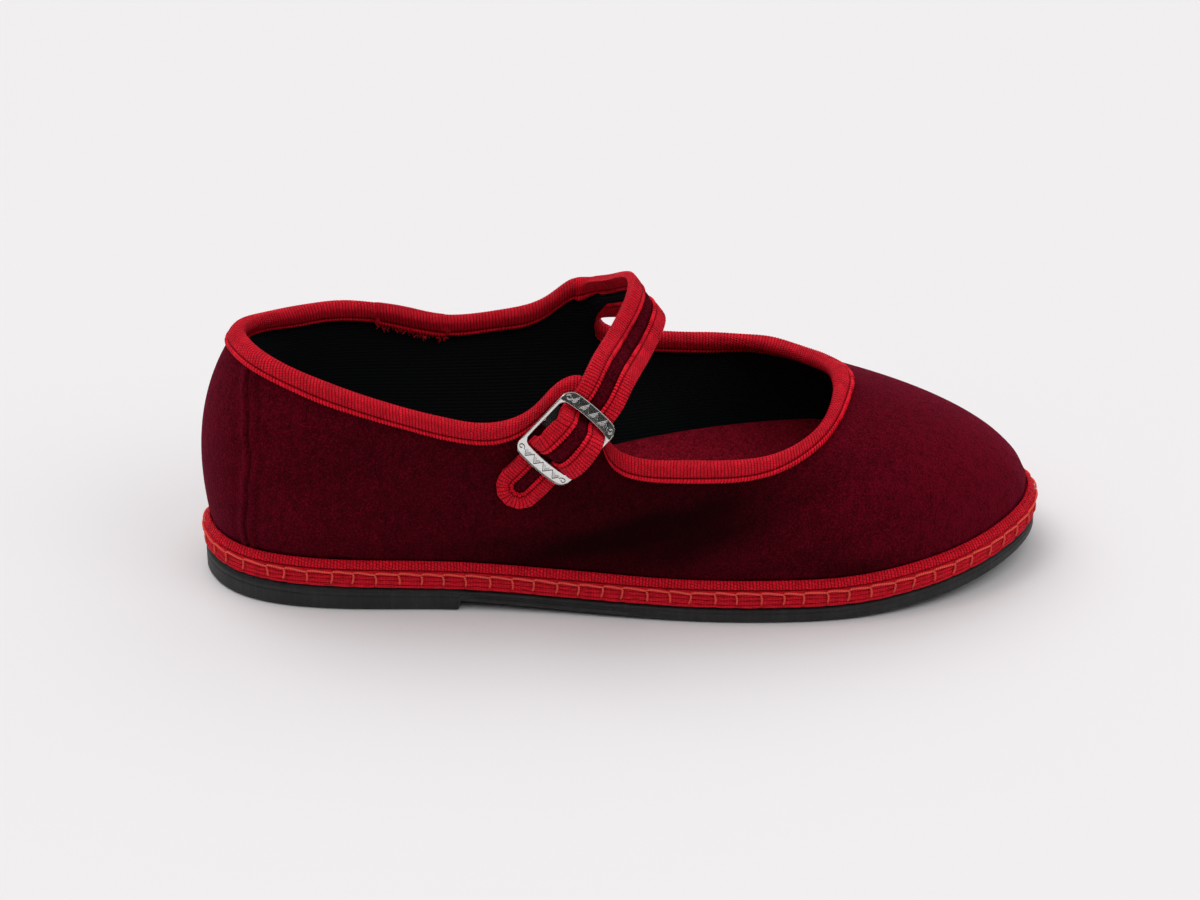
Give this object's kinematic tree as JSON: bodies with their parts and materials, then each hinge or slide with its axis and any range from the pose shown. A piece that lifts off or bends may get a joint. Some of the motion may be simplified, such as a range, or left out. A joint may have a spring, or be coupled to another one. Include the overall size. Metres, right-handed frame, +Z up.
{
  "type": "mary jane flat",
  "caption": "Right velvet mary jane flat with a bound topline, an instep strap through a frame buckle, and a rubber sole.",
  "frame": {"origin": "on the floor under the middle of the shoe's plan: the middle of its length and of its width", "axes": "+X from heel to toe, +Y to the medial side, -Y to the lateral side with the buckle, +Z up"},
  "size_m": [0.2548, 0.0885, 0.0901],
  "materials": {
    "burgundy_velvet": "dark burgundy cotton velvet with a soft nap",
    "insole_velvet": "burgundy velvet footbed",
    "red_grosgrain": "red grosgrain ribbon, ribs across its width",
    "red_textile": "layered red textile edge with blanket stitching",
    "black_rubber": "moulded matt black rubber",
    "silver_metal": "polished silver-coloured metal, engraved and darkened in the lines",
    "black_elastic": "woven black elastic"
  },
  "bodies": {
    "root": {"outsole": "black_rubber", "midsole": "red_textile", "insole": "insole_velvet", "upper": "burgundy_velvet", "midsole_ribbon": "red_grosgrain", "topline_binding": "red_grosgrain", "strap": "burgundy_velvet", "strap_binding": "red_grosgrain", "buckle": "silver_metal", "buckle_loop": "black_elastic"}
  },
  "joints": []
}
